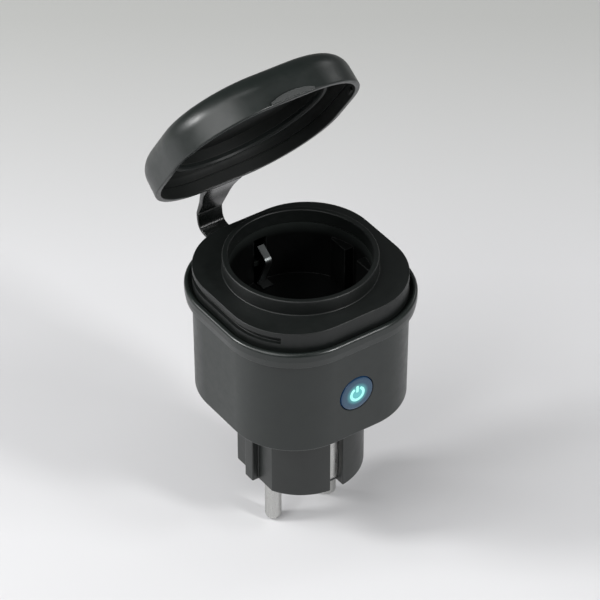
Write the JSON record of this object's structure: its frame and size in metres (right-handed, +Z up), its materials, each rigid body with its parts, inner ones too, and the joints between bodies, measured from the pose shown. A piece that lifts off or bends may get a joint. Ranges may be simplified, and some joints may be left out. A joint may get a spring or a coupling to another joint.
{
  "type": "smart plug",
  "caption": "Outdoor smart plug: earthed plug below, switched earthed socket on top under a strap-hinged lid, with a lit push button on the front.",
  "frame": {"origin": "centre of the plug engagement face, between the two pins", "axes": "+Z up out of the socket, the pins point along -Z and lie along X, the button faces -Y, the lid hinge is at +Y"},
  "size_m": [0.0594, 0.0748, 0.1447],
  "materials": {
    "housing_plastic": "satin charcoal",
    "cover_plastic": "satin near-black",
    "socket_plastic": "satin black",
    "core_plastic": "satin charcoal",
    "seal_rubber": "soft black",
    "pin_metal": "satin nickel",
    "contact_metal": "tinned brass",
    "shutter_plastic": "satin black",
    "spring_steel": "drawn wire",
    "wire_insulation": "smooth",
    "circuit_board": "solder mask",
    "relay_case": "smooth",
    "transformer_tape": "taped",
    "capacitor_sleeve": "shrink sleeve",
    "film_capacitor_case": "cast",
    "varistor_coat": "dipped",
    "fuse_body": "ceramic",
    "radio_board": "solder mask",
    "shield_can": "tinned",
    "switch_plastic": "moulded",
    "led_body": "clear",
    "light_guide_plastic": "frosted",
    "button_plastic": "translucent dark blue",
    "icon_light": "lit cyan",
    "strap_rubber": "flexible, satin"
  },
  "bodies": {
    "root": {"lower_housing": "housing_plastic", "rim_band": "housing_plastic", "upper_cover": "cover_plastic", "socket_cup": "socket_plastic", "housing_seal": "seal_rubber", "plug_core": "core_plastic", "pin_left": "pin_metal", "pin_right": "pin_metal", "plug_earth_strips": "pin_metal", "earth_bus": "contact_metal", "earth_clips": "contact_metal", "contact_left": "contact_metal", "contact_right": "contact_metal", "shutter_spring": "spring_steel", "shutter_washer": "spring_steel", "supply_wires": "wire_insulation", "main_board": "circuit_board", "relay": "relay_case", "transformer": "transformer_tape", "capacitors": "capacitor_sleeve", "film_capacitor": "film_capacitor_case", "varistor": "varistor_coat", "fuse": "fuse_body", "wifi_module": "radio_board", "wifi_shield": "shield_can", "button_board": "circuit_board", "tact_switch": "switch_plastic", "leds": "led_body", "light_guide": "light_guide_plastic", "case_screws": "spring_steel", "strap_lower": "strap_rubber"},
    "lid": {"lid_shell": "housing_plastic", "lid_gasket": "seal_rubber", "strap_upper": "strap_rubber"},
    "button": {"button_cap": "button_plastic", "power_icon": "icon_light", "switch_plunger": "switch_plastic"},
    "shutter": {"shutter": "shutter_plastic"}
  },
  "joints": [
    {"name": "lid_hinge", "type": "hinge", "parent": "root", "child": "lid", "pos_m": [0, 0.0429, 0.0607], "axis": [-1, 0, 0], "range_deg": [-55.25, 75]},
    {"name": "button_press", "type": "slide", "parent": "root", "child": "button", "axis": [0, 1, 0.0097], "range_m": [0, 0.0005], "stiffness_N_per_m": 600},
    {"name": "shutter_turn", "type": "hinge", "parent": "root", "child": "shutter", "pos_m": [0, 0, 0.04705], "axis": [0, 0, 1], "range_deg": [0, 42], "stiffness_Nm_per_rad": 0.002}
  ]
}
